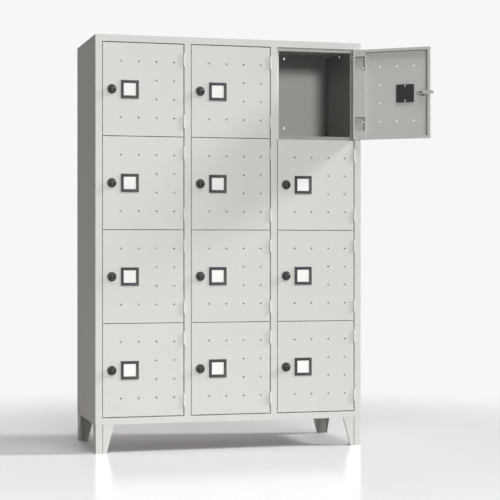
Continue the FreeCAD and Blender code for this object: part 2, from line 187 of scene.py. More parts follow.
def surface_grain():
    """Slight mottling, uneven gloss and fine relief of a coated or moulded skin."""
    group = bpy.data.node_groups.new("surface grain", "ShaderNodeTree")
    for label, kind, start in (("Colour", "NodeSocketColor", (0.5, 0.5, 0.5, 1)),
                               ("Mottle", "NodeSocketFloat", 0.03),
                               ("Mottle Scale", "NodeSocketFloat", 5.0),
                               ("Roughness", "NodeSocketFloat", 0.5),
                               ("Gloss Change", "NodeSocketFloat", 0.08),
                               ("Grain Scale", "NodeSocketFloat", 900.0)):
        socket = group.interface.new_socket(label, in_out="INPUT", socket_type=kind)
        socket.default_value = start
    for label, kind in (("Color", "NodeSocketColor"), ("Roughness", "NodeSocketFloat"),
                        ("Height", "NodeSocketFloat")):
        group.interface.new_socket(label, in_out="OUTPUT", socket_type=kind)
    nodes, link = group.nodes, group.links.new
    given, out = nodes.new("NodeGroupInput"), nodes.new("NodeGroupOutput")
    place = nodes.new("ShaderNodeTexCoord")
    cloud, grain, pores = (nodes.new("ShaderNodeTexNoise") for _ in range(3))
    cloud.inputs["Detail"].default_value = 3
    grain.inputs["Detail"].default_value = 2
    pores.inputs["Detail"].default_value = 1
    for noise in (cloud, grain, pores):
        link(place.outputs["Object"], noise.inputs["Vector"])
    link(given.outputs["Mottle Scale"], cloud.inputs["Scale"])
    link(given.outputs["Grain Scale"], grain.inputs["Scale"])
    finer = nodes.new("ShaderNodeMath")
    finer.operation = "MULTIPLY"
    finer.inputs[1].default_value = PORE_SCALE
    link(given.outputs["Grain Scale"], finer.inputs[0])
    link(finer.outputs[0], pores.inputs["Scale"])

    def around(noise, middle, spread):
        """middle + spread * (noise - 0.5)"""
        centred, scaled = nodes.new("ShaderNodeMath"), nodes.new("ShaderNodeMath")
        centred.operation, scaled.operation = "SUBTRACT", "MULTIPLY_ADD"
        centred.inputs[1].default_value = 0.5
        link(noise.outputs["Fac"], centred.inputs[0])
        link(centred.outputs[0], scaled.inputs[0])
        link(spread, scaled.inputs[1])
        if isinstance(middle, float):
            scaled.inputs[2].default_value = middle
        else:
            link(middle, scaled.inputs[2])
        return scaled.outputs[0]

    tone = nodes.new("ShaderNodeHueSaturation")
    link(given.outputs["Colour"], tone.inputs["Color"])
    link(around(cloud, 1.0, given.outputs["Mottle"]), tone.inputs["Value"])
    link(tone.outputs["Color"], out.inputs["Color"])
    link(around(pores, given.outputs["Roughness"], given.outputs["Gloss Change"]),
         out.inputs["Roughness"])
    relief = nodes.new("ShaderNodeMath")
    relief.operation = "MULTIPLY_ADD"
    relief.inputs[1].default_value = GRAIN_SHARE
    link(grain.outputs["Fac"], relief.inputs[0])
    link(pores.outputs["Fac"], relief.inputs[2])
    link(relief.outputs[0], out.inputs["Height"])
    return group


GRAIN = surface_grain()


def finish(name, colour, roughness, mottle=0.03, mottle_scale=5.0, gloss_change=0.08,
           grain_scale=900.0, relief=0.15, metallic=0.0, specular=0.5):
    """A material: its own shader, fed by the shared grain with its own values."""
    material = bpy.data.materials.new(name)
    material.use_nodes = True
    nodes, link = material.node_tree.nodes, material.node_tree.links.new
    shader = nodes["Principled BSDF"]
    grain = nodes.new("ShaderNodeGroup")
    grain.node_tree = GRAIN
    for label, value in (("Colour", (*colour, 1)), ("Mottle", mottle),
                         ("Mottle Scale", mottle_scale), ("Roughness", roughness),
                         ("Gloss Change", gloss_change), ("Grain Scale", grain_scale)):
        grain.inputs[label].default_value = value
    bump = nodes.new("ShaderNodeBump")
    bump.inputs["Strength"].default_value = relief
    bump.inputs["Distance"].default_value = 0.1 * MM
    link(grain.outputs["Color"], shader.inputs["Base Color"])
    link(grain.outputs["Roughness"], shader.inputs["Roughness"])
    link(grain.outputs["Height"], bump.inputs["Height"])
    link(bump.outputs["Normal"], shader.inputs["Normal"])
    shader.inputs["Metallic"].default_value = metallic
    shader.inputs["Specular IOR Level"].default_value = specular
    return material


FRAME_COAT = finish("frame powder coat", (0.640, 0.660, 0.632), 0.42)

opening_edges = [edge + COLUMN_PITCH * k for k in range(3)
                 for edge in (OPENING_LEFT, OPENING_RIGHT)]
face = blank(at(0, 0, CABINET_FOOT), at(CABINET_WIDTH, 0, CABINET_FOOT),
             at(CABINET_WIDTH, 0, CABINET_TOP), at(0, 0, CABINET_TOP))
scribe(face, 0, [at(x, 0, 0).x for x in opening_edges])
scribe(face, 2, [OPENING_FOOT * MM, OPENING_TOP * MM])
for left, right in zip(opening_edges[::2], opening_edges[1::2]):
    nibble(face, at(left, -1, OPENING_FOOT), at(right, 1, OPENING_TOP))
    fold(face, rim(face, at(left, -1, OPENING_FOOT), at(right, 1, OPENING_TOP)),
         lambda co: (0, RETURN_DEPTH, 0))
    middle, floor_line = at((left + right) / 2, 0, 0).x, OPENING_FOOT * MM
    head_line = OPENING_TOP * MM
    back_rim = [e for e in rim(face, at(left, RETURN_DEPTH - 1, OPENING_FOOT),
                               at(right, RETURN_DEPTH + 1, OPENING_TOP))
                if not all(v.co.z < floor_line + NEAR for v in e.verts)]
    fold(face, back_rim,
         lambda co: (STOP_LIP if co.x < middle else -STOP_LIP, 0,
                     -STOP_LIP if co.z > head_line - NEAR else 0))
outer = [e for e in face.edges if e.is_boundary
         and all(abs(v.co.y - frame_low.y) < NEAR for v in e.verts)
         and not all(abs(v.co.z - CABINET_FOOT * MM) < NEAR for v in e.verts)]
fold(face, outer, lambda co: (0, OUTER_FOLD, 0))
notches = []
for name in DOOR_NAMES:
    x, _, z = door_corner(name)
    for foot in HINGE_FEET:
        notches.append((x + HINGE_AXIS[0], z + foot + KNUCKLE - NOTCH_BELOW,
                        z + foot + 2 * KNUCKLE + KNUCKLE_GAP + NOTCH_ABOVE))
scribe(face, 0, [at(x + NOTCH_WIDTH, 0, 0).x for x in sorted({n[0] for n in notches})])
scribe(face, 1, [at(0, NOTCH_DEPTH, 0).y])
scribe(face, 2, [z * MM for z in sorted({z for n in notches for z in n[1:]})])
for x, z0, z1 in notches:
    nibble(face, at(x, -1, z0), at(x + NOTCH_WIDTH, NOTCH_DEPTH, z1))
paint_side(face, (0, -1, 0))
round_folds(face, 0.8)
add_piece("front_frame_face", finished_mesh("front_frame_face", give_wall(face)),
          FRAME_COAT, "carcass", "front_frame")


# ---------------------------------------------------------------------------
# Side panels.  Plain steel sides behind the frame, their rear edge folded
# inwards to hold the back; two round holes near the rear take the bolts that
# tie neighbouring cabinets together.  The face towards the compartments has
# the darker inner coat, which is painted shade for the dim inside.
SHELL_COAT = finish("shell powder coat", (0.615, 0.632, 0.606), 0.46)
# A darker copy of the shell coat for surfaces inside the cabinet: painted shade, standing for the
# dim light in the compartments.
PAINTED_SHADE_COAT = finish("inner powder coat with painted shade", (0.34, 0.345, 0.33), 0.55)
SEAM = 0.2
REAR_FLANGE, TOP_FLANGE = 15, 12
TIE_DEPTH, TIE_HEIGHTS, TIE_RADIUS = 300, (229, 1774), 5
TIE_CELL = TIE_RADIUS * 1.5
HOLE_STEPS = 16


def punch(bm, centre, axis, radius, stretch=0.0):
    """Round hole in the scribed cell at centre; stretch makes it a slot."""
    across, up = [k for k in range(3) if k != axis]
    cell = min(bm.faces, key=lambda f: (f.calc_center_median() - centre).length)
    edges = cell.edges[:]
    corners = [v.co.copy() for v in cell.verts]
    low = [min(c[k] for c in corners) - NEAR for k in range(3)]
    high = [max(c[k] for c in corners) + NEAR for k in range(3)]
    bmesh.ops.delete(bm, geom=[cell], context="FACES_ONLY")
    bmesh.ops.subdivide_edges(bm, edges=edges, cuts=HOLE_STEPS // 4 - 1)
    border = [e for e in bm.edges if e.is_boundary
              and all(inside(v.co, low, high) for v in e.verts)]
    hole = bmesh.ops.edgeloop_fill(bm, edges=border)["faces"]
    bmesh.ops.inset_individual(bm, faces=hole, thickness=0.01 * MM)
    for vert in hole[0].verts:
        u = (vert.co[across] - centre[across]) / (high[across] - centre[across])
        w = (vert.co[up] - centre[up]) / (high[up] - centre[up])
        if abs(u) > abs(w):
            turn = w / u * math.pi / 4 + (0 if u > 0 else math.pi)
        else:
            turn = math.pi / 2 - u / w * math.pi / 4 + (0 if w > 0 else math.pi)
        rise = math.sin(turn)
        vert.co[across] = centre[across] + radius * MM * math.cos(turn)
        vert.co[up] = centre[up] + radius * MM * rise
        if abs(rise) > 0.1:
            vert.co[up] += math.copysign(stretch * MM, rise)
    bmesh.ops.delete(bm, geom=hole, context="FACES_ONLY")


for side, x, inward in (("left", 0, 1), ("right", CABINET_WIDTH, -1)):
    panel = blank(at(x, OUTER_FOLD + SEAM, CABINET_FOOT), at(x, CABINET_DEPTH, CABINET_FOOT),
                  at(x, CABINET_DEPTH, CABINET_TOP - TOP_FLANGE - SEAM),
                  at(x, OUTER_FOLD + SEAM, CABINET_TOP - TOP_FLANGE - SEAM))
    scribe(panel, 1, [at(0, TIE_DEPTH + d, 0).y for d in (-TIE_CELL, TIE_CELL)])
    scribe(panel, 2, [(z + d) * MM for z in TIE_HEIGHTS for d in (-TIE_CELL, TIE_CELL)])
    for z in TIE_HEIGHTS:
        punch(panel, at(x, TIE_DEPTH, z), 0, TIE_RADIUS)
    rear_edge = rim(panel, at(x - 1, CABINET_DEPTH - 0.1, 0),
                    at(x + 1, CABINET_DEPTH + 0.1, CABINET_TOP))
    fold(panel, rear_edge, lambda co: (inward * REAR_FLANGE, 0, 0))
    paint_side(panel, (-inward, 0, 0))
    round_folds(panel, 1.5)
    name = "side_sheet_" + side
    sheet = add_piece(name, finished_mesh(name, give_wall(panel)), SHELL_COAT,
                      "carcass", "side_panel_" + side)
    # Faces towards the compartments take the darker coat: painted shade.
    sheet.data.materials.append(PAINTED_SHADE_COAT)
    for facet in sheet.data.polygons:
        if facet.normal.x * inward > 0.5 and facet.center.y < at(0, CABINET_DEPTH - 3, 0).y:
            facet.material_index = 1


# ---------------------------------------------------------------------------
# Top panel.  A shallow steel tray turned upside down: its sides and its rear
# edge are folded down and welded to the sides of the cabinet.
lid = blank(at(0, OUTER_FOLD + SEAM, CABINET_TOP),
            at(CABINET_WIDTH, OUTER_FOLD + SEAM, CABINET_TOP),
            at(CABINET_WIDTH, CABINET_DEPTH, CABINET_TOP), at(0, CABINET_DEPTH, CABINET_TOP))
lid_front = at(0, OUTER_FOLD + SEAM, 0).y
fold(lid, [e for e in lid.edges if not all(v.co.y < lid_front + NEAR for v in e.verts)],
     lambda co: (0, 0, -TOP_FLANGE))
paint_side(lid, (0, 0, 1))
round_folds(lid, 1.5)
add_piece("top_tray", finished_mesh("top_tray", give_wall(lid)), SHELL_COAT,
          "carcass", "top_panel")


# ---------------------------------------------------------------------------
# Back panel.  One sheet spot-welded inside the rear flanges, with an upright
# slot behind every compartment for air and for fixing the cabinet to a wall.
FIRST_SLOT, SLOT_RADIUS, SLOT_REACH = 209, 3, 4
SLOT_HEIGHTS = (1784, 1453, 1050, 647, 244)
SLOT_CELL_HALF, SLOT_CELL_REACH = 6, 10
BACK_FACE, BACK_SHEET, BACK_TOP = 499.3, 0.9, CABINET_TOP - 1.2
back = blank(at(CABINET_WIDTH - SHEET, BACK_FACE, CABINET_FOOT),
             at(SHEET, BACK_FACE, CABINET_FOOT), at(SHEET, BACK_FACE, BACK_TOP),
             at(CABINET_WIDTH - SHEET, BACK_FACE, BACK_TOP))
slot_places = [FIRST_SLOT + COLUMN_PITCH * k for k in range(3)]
scribe(back, 0, [at(x + d, 0, 0).x for x in slot_places
                 for d in (-SLOT_CELL_HALF, SLOT_CELL_HALF)])
scribe(back, 2, [(z + d) * MM for z in SLOT_HEIGHTS
                 for d in (-SLOT_CELL_REACH, SLOT_CELL_REACH)])
for x in slot_places:
    for z in SLOT_HEIGHTS:
        punch(back, at(x, BACK_FACE, z), 1, SLOT_RADIUS, SLOT_REACH)
paint_side(back, (0, 1, 0))
add_piece("back_sheet", finished_mesh("back_sheet", give_wall(back, BACK_SHEET)), SHELL_COAT,
          "carcass", "back_panel")


# ---------------------------------------------------------------------------
# Base panel and shelves.  Steel sheets whose front edge is folded down and
# back under itself, which stiffens it and stops the door below and above.
EDGE_DEPTH, EDGE_DROP, EDGE_RETURN = 22, 30, 12
SHELF_TOPS = (1380.5, 977.5, 574.5)
BASE_TOP = 169
SHEET_BACK = BACK_FACE - 0.6
SHELF_SPANS = ((1, 398), (399, 788), (789, 1199))


def tray_with_edge(x0, x1, top):
    """Sheet between two places across the cabinet, with its folded front edge."""
    sheet = blank(at(x0, EDGE_DEPTH, top), at(x1, EDGE_DEPTH, top),
                  at(x1, SHEET_BACK, top), at(x0, SHEET_BACK, top))
    for depth, shift in ((EDGE_DEPTH, (0, 0, -EDGE_DROP)), (EDGE_DEPTH, (0, EDGE_RETURN, 0))):
        lowest = min(v.co.z for v in sheet.verts)
        fold(sheet, [e for e in sheet.edges if e.is_boundary and all(
            abs(v.co.z - lowest) < NEAR and v.co.y < at(0, depth + 1, 0).y for v in e.verts)],
            lambda co: shift)
    paint_side(sheet, (0, 0, 1))
    round_folds(sheet, 1.4)
    return give_wall(sheet)


# The base and the shelves take the darker inner coat: painted shade inside the compartments.
base = tray_with_edge(SHEET, CABINET_WIDTH - SHEET, BASE_TOP)
add_piece("base_sheet", finished_mesh("base_sheet", base),
          PAINTED_SHADE_COAT, "carcass", "base_panel")
for column, (x0, x1) in zip("abc", SHELF_SPANS):
    for number, top in enumerate(SHELF_TOPS, 1):
        name = f"shelf_{column}{number}"
        add_piece(name, finished_mesh(name, tray_with_edge(x0, x1, top)),
                  PAINTED_SHADE_COAT, "carcass", "shelves")


# ---------------------------------------------------------------------------
# Partitions.  Flat upright steel sheets behind the two mullions, with a narrow
# nose that reaches into the mullion.  Their shape in the frame is already
# right, so they only get the darker inner coat, which is painted shade.
for name in ("partition_left", "partition_right"):
    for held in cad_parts[name].material_slots:
        held.material = PAINTED_SHADE_COAT


# ---------------------------------------------------------------------------
# Legs.  Two millimetre steel: a folded corner post, and beside it a gusset
# with a slanting folded edge, joined by a strip behind their seam and welded
# to a drilled foot plate.
LEG_SHEET, LEG_TOP = 2.0, 139
POST_EDGE, GUSSET_EDGE = 30.5, 33
GUSSET_FOOT, GUSSET_TOP, SLANT_FOLD = 49, 82, 9
SIDE_TOP, SIDE_FOOT = 77, 18
LAP_LEFT, LAP_RIGHT, LAP_DEPTH = 25, 39, 9.5
PAD_DEPTH, PAD_CELL = 44, 8
FOOT_HOLE = (27, 25, 5)


def flat_plate(points, depth):
    """Upright plate facing forwards from its outline of (x, z)."""
    return blank(*[at(x, depth, z) for x, z in points])


def leg_parts():
    """Post, gusset, strip behind their seam and foot plate of the front left leg."""
    post = flat_plate([(SHEET, LEG_SHEET), (POST_EDGE, LEG_SHEET),
                       (POST_EDGE, LEG_TOP), (SHEET, LEG_TOP)], SHEET)
    corner = rim(post, at(SHEET - 0.1, 0, 0), at(SHEET + 0.1, 2, LEG_TOP + 1))
    fold(post, corner, lambda co: (0, SIDE_TOP, 0))
    scribe(post, 2, [CABINET_FOOT * MM])
    for vert in post.verts:
        if vert.co.y > at(0, SIDE_TOP - 1, 0).y and vert.co.z < (LEG_SHEET + 1) * MM:
            vert.co.y = at(0, SIDE_FOOT, 0).y
    paint_side(post, (0, -1, 0))
    gusset = flat_plate([(GUSSET_EDGE, LEG_SHEET), (GUSSET_FOOT, LEG_SHEET),
                         (GUSSET_TOP, CABINET_FOOT), (GUSSET_TOP, LEG_TOP),
                         (GUSSET_EDGE, LEG_TOP)], SHEET)
    slanted = [e for e in gusset.edges
               if all(v.co.x > at(GUSSET_FOOT - 1, 0, 0).x for v in e.verts)
               and min(v.co.z for v in e.verts) < (LEG_SHEET + 1) * MM]
    fold(gusset, slanted, lambda co: (0, SLANT_FOLD, 0))
    paint_side(gusset, (0, -1, 0))
    lap = flat_plate([(LAP_LEFT, LEG_SHEET), (LAP_RIGHT, LEG_SHEET),
                      (LAP_RIGHT, LEG_TOP), (LAP_LEFT, LEG_TOP)], LAP_DEPTH)
    paint_side(lap, (0, -1, 0))
    pad = blank(at(SHEET, SHEET, LEG_SHEET), at(GUSSET_FOOT, SHEET, LEG_SHEET),
                at(GUSSET_FOOT, PAD_DEPTH, LEG_SHEET), at(SHEET, PAD_DEPTH, LEG_SHEET))
    x, depth, radius = FOOT_HOLE
    scribe(pad, 0, [at(x + d, 0, 0).x for d in (-PAD_CELL, PAD_CELL)])
    scribe(pad, 1, [at(0, depth + d, 0).y for d in (-PAD_CELL, PAD_CELL)])
    punch(pad, at(x, depth, LEG_SHEET), 2, radius)
    paint_side(pad, (0, 0, 1))
    for sheet in (post, gusset):
        round_folds(sheet, 2.2)
    return [give_wall(sheet, LEG_SHEET) for sheet in (post, gusset, lap, pad)]


def joined(*parts):
    """One mesh from several."""
    whole = bmesh.new()
    for part in parts:
        mesh = bpy.data.meshes.new("part")
        part.to_mesh(mesh)
        part.free()
        whole.from_mesh(mesh)
        bpy.data.meshes.remove(mesh)
    return whole


for front_back, flip_y in (("front", 1), ("rear", -1)):
    for side, flip_x in (("left", 1), ("right", -1)):
        leg = joined(*leg_parts())
        bmesh.ops.transform(leg, matrix=Matrix.Diagonal((flip_x, flip_y, 1, 1)),
                            verts=leg.verts[:])
        if flip_x * flip_y < 0:
            bmesh.ops.reverse_faces(leg, faces=leg.faces[:])
        name = f"leg_{front_back}_{side}"
        add_piece(name, finished_mesh(name, leg), FRAME_COAT, "carcass", "legs")


# ---------------------------------------------------------------------------
# Hinges.  Steel pin hinges welded into the gap on each door's right: the
# lower knuckle and its pin sit on the frame, the tube above turns with the
# door.
KNUCKLE_RADIUS, PIN_RADIUS, BORE_RADIUS = 4.0, 2.5, 2.55


def turned(profile, steps=24, close=False):
    """Solid of revolution about Z from (radius, height) points."""
    bm = bmesh.new()
    verts = [bm.verts.new((r * MM, 0, z * MM)) for r, z in profile]
    edges = [bm.edges.new(pair) for pair in zip(verts, verts[1:])]
    if close:
        edges.append(bm.edges.new((verts[-1], verts[0])))
    bmesh.ops.spin(bm, geom=verts + edges, cent=(0, 0, 0), axis=(0, 0, 1), dvec=(0, 0, 0),
                   angle=math.tau, steps=steps, use_merge=True, use_duplicate=False)
    bmesh.ops.remove_doubles(bm, verts=bm.verts[:], dist=NEAR)
    bmesh.ops.recalc_face_normals(bm, faces=bm.faces[:])
    return bm


def moved(bm, matrix):
    """The same mesh, put in its place."""
    bmesh.ops.transform(bm, matrix=matrix, verts=bm.verts[:])
    return bm


knuckles = []
for name in DOOR_NAMES:
    x, depth, z = door_corner(name)
    for foot in HINGE_FEET:
        pin_top = 2 * KNUCKLE + KNUCKLE_GAP - 2
        knuckle = turned([(0, 0), (3.4, 0), (KNUCKLE_RADIUS, 0.6), (KNUCKLE_RADIUS, KNUCKLE - 0.4),
                          (3.6, KNUCKLE), (PIN_RADIUS, KNUCKLE), (PIN_RADIUS, pin_top - 0.6),
                          (1.9, pin_top), (0, pin_top)])
        spot = at(x + HINGE_AXIS[0], depth + HINGE_AXIS[1], z + foot)
        knuckles.append(moved(knuckle, Matrix.Translation(spot)))
add_piece("hinge_pins", finished_mesh("hinge_pins", joined(*knuckles)), FRAME_COAT,
          "carcass", "hinge_knuckles")


# ---------------------------------------------------------------------------
# Doors.  Folded steel trays with twelve punched vents, a square hole for the
# label holder and a round one for the lock; hinge tubes are welded to the
# right-hand edge.  The upper right door stands open.
DOOR_COAT = finish("door powder coat", (0.645, 0.662, 0.636), 0.40)
DOOR_WIDTH, DOOR_HEIGHT, DOOR_DEPTH, DOOR_LIP = 354, 400, 20, 12
STIFFENER_LEFT, HINGE_LIP = 298, 8
ROOM_EDGE, ROOM_DEPTH, ROOM_BELOW = 351.4, 4, 0.8
VENT_RADIUS, VENT_CELL = 3.3, 5
VENTS = [(78.5 + 78 * i, 78.8 + 80.8 * j) for i in range(4) for j in range(4)
         if i > 1 or j in (0, 3)]
LABEL_CENTRE, LABEL_HOLE = (117.5, 200), 31
LOCK_CENTRE, LOCK_HOLE, LOCK_CELL = (39, 200), 9.5, 14
OPEN_DOOR, OPEN_ANGLE = "c1", 143


def local(x, y, z):
    """A place on the door in millimetres from its lower left outer corner."""
    return Vector((x, y, z)) * MM


def hung(name, turn=0.0):
    """Where a door's own millimetres go; turn is the lock's, about its spindle."""
    spot = Matrix.Translation(at(*door_corner(name)))
    axis = Matrix.Translation(local(*HINGE_AXIS, 0))
    spindle = Matrix.Translation(local(LOCK_CENTRE[0], 0, LOCK_CENTRE[1]))
    swing = Matrix.Rotation(math.radians(OPEN_ANGLE if name == OPEN_DOOR else 0), 4, "Z")
    key = Matrix.Rotation(math.radians(turn), 4, "Y")
    return spot @ axis @ swing @ axis.inverted() @ spindle @ key @ spindle.inverted()


def on_every_door(piece_name, bm, finish_material, node, body="door_", turns=False):
    """The same piece on all twelve doors, each in its place."""
    pattern = finished_mesh(piece_name, bm)
    for name in DOOR_NAMES:
        copy = pattern.copy()
        copy.transform(hung(name, 90 if turns and name == OPEN_DOOR else 0))
        add_piece(piece_name + "_" + name, copy, finish_material, body + name, node + name)
    bpy.data.meshes.remove(pattern)


skin = blank(local(0, 0, 0), local(DOOR_WIDTH, 0, 0), local(DOOR_WIDTH, 0, DOOR_HEIGHT),
             local(0, 0, DOOR_HEIGHT))
scribe(skin, 0, [x * MM for x in sorted(
    {v[0] + d for v in VENTS for d in (-VENT_CELL, VENT_CELL)}
    | {LABEL_CENTRE[0] + d for d in (-LABEL_HOLE, LABEL_HOLE)}
    | {LOCK_CENTRE[0] + d for d in (-LOCK_CELL, LOCK_CELL)} | {STIFFENER_LEFT})])
scribe(skin, 2, [z * MM for z in sorted(
    {v[1] + d for v in VENTS for d in (-VENT_CELL, VENT_CELL)}
    | {LABEL_CENTRE[1] + d for d in (-LABEL_HOLE, LABEL_HOLE)}
    | {LOCK_CENTRE[1] + d for d in (-LOCK_CELL, LOCK_CELL)})])
nibble(skin, local(LABEL_CENTRE[0] - LABEL_HOLE, -1, LABEL_CENTRE[1] - LABEL_HOLE),
       local(LABEL_CENTRE[0] + LABEL_HOLE, 1, LABEL_CENTRE[1] + LABEL_HOLE))
for x, z in VENTS:
    punch(skin, local(x, 0, z), 1, VENT_RADIUS)
punch(skin, local(LOCK_CENTRE[0], 0, LOCK_CENTRE[1]), 1, LOCK_HOLE)
outline = [e for e in skin.edges if e.is_boundary and any(
    all(abs(v.co[k] - edge * MM) < NEAR for v in e.verts)
    for k, edge in ((0, 0), (0, DOOR_WIDTH), (2, 0), (2, DOOR_HEIGHT)))]
fold(skin, outline, lambda co: (0, DOOR_DEPTH, 0))
back_edges = [e for e in rim(skin, local(-1, DOOR_DEPTH - 0.1, -1),
                             local(DOOR_WIDTH + 1, DOOR_DEPTH + 0.1, DOOR_HEIGHT + 1))
              if all(v.co.x < (STIFFENER_LEFT + 0.1) * MM for v in e.verts)]
fold(skin, back_edges,
     lambda co: (DOOR_LIP if co.x < NEAR else 0, 0,
                 DOOR_LIP if co.z < NEAR else -DOOR_LIP if co.z > DOOR_HEIGHT * MM - NEAR else 0))
hinge_edge = rim(skin, local(DOOR_WIDTH - 0.1, DOOR_DEPTH - 0.1, -1),
                 local(DOOR_WIDTH + 0.1, DOOR_DEPTH + 0.1, DOOR_HEIGHT + 1))
fold(skin, hinge_edge, lambda co: (-HINGE_LIP, 0, 0))
knuckle_rooms = [(foot - ROOM_BELOW, foot + KNUCKLE + KNUCKLE_GAP) for foot in HINGE_FEET]
scribe(skin, 0, [ROOM_EDGE * MM])
scribe(skin, 1, [ROOM_DEPTH * MM])
scribe(skin, 2, [z * MM for room in knuckle_rooms for z in room])
for z0, z1 in knuckle_rooms:
    nibble(skin, local(ROOM_EDGE, -1, z0), local(DOOR_WIDTH, ROOM_DEPTH, z1))
paint_side(skin, (0, -1, 0))
round_folds(skin, 0.8)
skin = give_wall(skin)
tubes = []
for foot in HINGE_FEET:
    tube = turned([(BORE_RADIUS, 0), (3.6, 0), (KNUCKLE_RADIUS, 0.4),
                   (KNUCKLE_RADIUS, KNUCKLE - 0.4), (3.6, KNUCKLE), (BORE_RADIUS, KNUCKLE)],
                  close=True)
    spot = local(*HINGE_AXIS, foot + KNUCKLE + KNUCKLE_GAP)
    tubes.append(moved(tube, Matrix.Translation(spot)))
on_every_door("door_skin", joined(skin, *tubes), DOOR_COAT, "door_leaf_")


# ---------------------------------------------------------------------------
# Door stiffener.  A flat steel channel welded up the inside of the hinge
# edge, with an opening behind each hinge and a small hole at either end.
POCKET = (299.6, 345)
POCKET_ROWS = ((40, 100), (310, 370))
PLATE_HOLES = ((323, 16), (323, 384))
PLATE_HOLE_RADIUS, PLATE_CELL = 2.5, 4
PLATE_FACE, PLATE_ROOM, PLATE_ENDS = 18.9, 1.2, 0.8
plate = blank(local(DOOR_WIDTH - PLATE_ROOM, PLATE_FACE, PLATE_ENDS),
              local(STIFFENER_LEFT, PLATE_FACE, PLATE_ENDS),
              local(STIFFENER_LEFT, PLATE_FACE, DOOR_HEIGHT - PLATE_ENDS),
              local(DOOR_WIDTH - PLATE_ROOM, PLATE_FACE, DOOR_HEIGHT - PLATE_ENDS))
hole_sides = [PLATE_HOLES[0][0] + d for d in (-PLATE_CELL, PLATE_CELL)]
hole_ends = [z + d for _, z in PLATE_HOLES for d in (-PLATE_CELL, PLATE_CELL)]
scribe(plate, 0, [x * MM for x in (*POCKET, *hole_sides)])
scribe(plate, 2, [z * MM for z in (*hole_ends, *POCKET_ROWS[0], *POCKET_ROWS[1])])
for z0, z1 in POCKET_ROWS:
    nibble(plate, local(POCKET[0], PLATE_FACE - 1, z0), local(POCKET[1], PLATE_FACE + 1, z1))
for x, z in PLATE_HOLES:
    punch(plate, local(x, PLATE_FACE, z), 1, PLATE_HOLE_RADIUS)
web_edge = rim(plate, local(STIFFENER_LEFT - 0.1, 0, 0),
               local(STIFFENER_LEFT + 0.1, DOOR_DEPTH, DOOR_HEIGHT))
fold(plate, web_edge, lambda co: (0, PLATE_ROOM - PLATE_FACE, 0))
paint_side(plate, (0, 1, 0))
round_folds(plate, 1.2)
on_every_door("door_stiffener", give_wall(plate), DOOR_COAT, "door_leaf_")


# ---------------------------------------------------------------------------
# Label holder.  A moulded black plastic frame pushed through the square hole,
# with sloping inner edges round a white paper card; a back plate inside the
# door is held by two small spring clips.
BLACK_SATIN = finish("label frame plastic", (0.042, 0.042, 0.044), 0.45, mottle=0.10,
                     mottle_scale=40.0, grain_scale=2500.0, relief=0.2)
CARD_PAPER = finish("label card paper", (0.93, 0.93, 0.92), 0.85, mottle=0.02,
                    mottle_scale=60.0, grain_scale=3500.0, relief=0.1, specular=0.2)
CLIP_STEEL = finish("clip steel", (0.80, 0.80, 0.78), 0.40, mottle=0.06, mottle_scale=90.0,
                    grain_scale=4000.0, relief=0.08, metallic=0.3)
LABEL_HALF, WINDOW_HALF, LABEL_PROUD, KEEPER_FACE = 39.5, 26.5, 3.0, 9.0
LABEL_LAND, WINDOW_SINK = 6, 2.0
CLIP_HALF, CLIP_SHEET, CLIP_HEIGHT, CLIP_FEET = 2.5, 1.5, 9, (-37.5, 28.5)
lx, lz = LABEL_CENTRE


def square(half, y):
    """Corners of an upright square round the label's middle."""
    return [local(lx - half, y, lz - half), local(lx + half, y, lz - half),
            local(lx + half, y, lz + half), local(lx - half, y, lz + half)]


def block(low, high, radius, steps=2):
    """Rounded block between two corners."""
    bm = bmesh.new()
    size, centre = high - low, (low + high) / 2
    bmesh.ops.create_cube(bm, size=1.0, matrix=Matrix.Translation(centre)
                          @ Matrix.Diagonal((*size, 1)))
    bmesh.ops.bevel(bm, geom=bm.edges[:], offset=radius * MM, offset_type="OFFSET",
                    segments=steps, profile=0.5, affect="EDGES", material=-1)
    return bm


bezel = blank(*square(LABEL_HALF, 0))
fold(bezel, bezel.edges[:], lambda co: (0, -LABEL_PROUD, 0))
bezel.faces.ensure_lookup_table()
base_face = max(bezel.faces, key=lambda f: f.calc_area())
bmesh.ops.delete(bezel, geom=[base_face], context="FACES_ONLY")


def rim_at(half, y):
    """Open edges of the bezel within a square at one depth."""
    return rim(bezel, local(lx - half, y - 0.1, lz - half), local(lx + half, y + 0.1, lz + half))


def inwards(width, deeper):
    """A fold of the bezel's four sides towards the label's middle."""
    return lambda co: (width if co.x < lx * MM else -width, deeper,
                       width if co.z < lz * MM else -width)


window_edge = WINDOW_SINK - LABEL_PROUD
fold(bezel, rim_at(LABEL_HALF + 0.5, -LABEL_PROUD), inwards(LABEL_LAND, 0))
fold(bezel, rim_at(LABEL_HALF - LABEL_LAND + 0.5, -LABEL_PROUD),
     inwards(LABEL_HALF - LABEL_LAND - WINDOW_HALF, WINDOW_SINK))
fold(bezel, rim_at(WINDOW_HALF + 0.5, window_edge), lambda co: (0, -window_edge, 0))
bmesh.ops.remove_doubles(bezel, verts=bezel.verts[:], dist=NEAR)
bmesh.ops.recalc_face_normals(bezel, faces=bezel.faces[:])
front_ring = max(bezel.faces, key=lambda f: -f.calc_center_median().y)
if front_ring.normal.y > 0:
    bmesh.ops.reverse_faces(bezel, faces=bezel.faces[:])
round_folds(bezel, 0.9)
plug = block(local(lx - LABEL_HOLE, 0, lz - LABEL_HOLE),
             local(lx + LABEL_HOLE, 1.4, lz + LABEL_HOLE), 0.2, 1)
keeper = block(local(lx - LABEL_HALF, SHEET, lz - LABEL_HALF),
               local(lx + LABEL_HALF, KEEPER_FACE, lz + LABEL_HALF), 0.8)
on_every_door("label_frame", joined(bezel, plug, keeper), BLACK_SATIN,
              "label_holder_")
card = block(local(lx - WINDOW_HALF, -0.8, lz - WINDOW_HALF),
             local(lx + WINDOW_HALF, -0.1, lz + WINDOW_HALF), 0.1, 1)
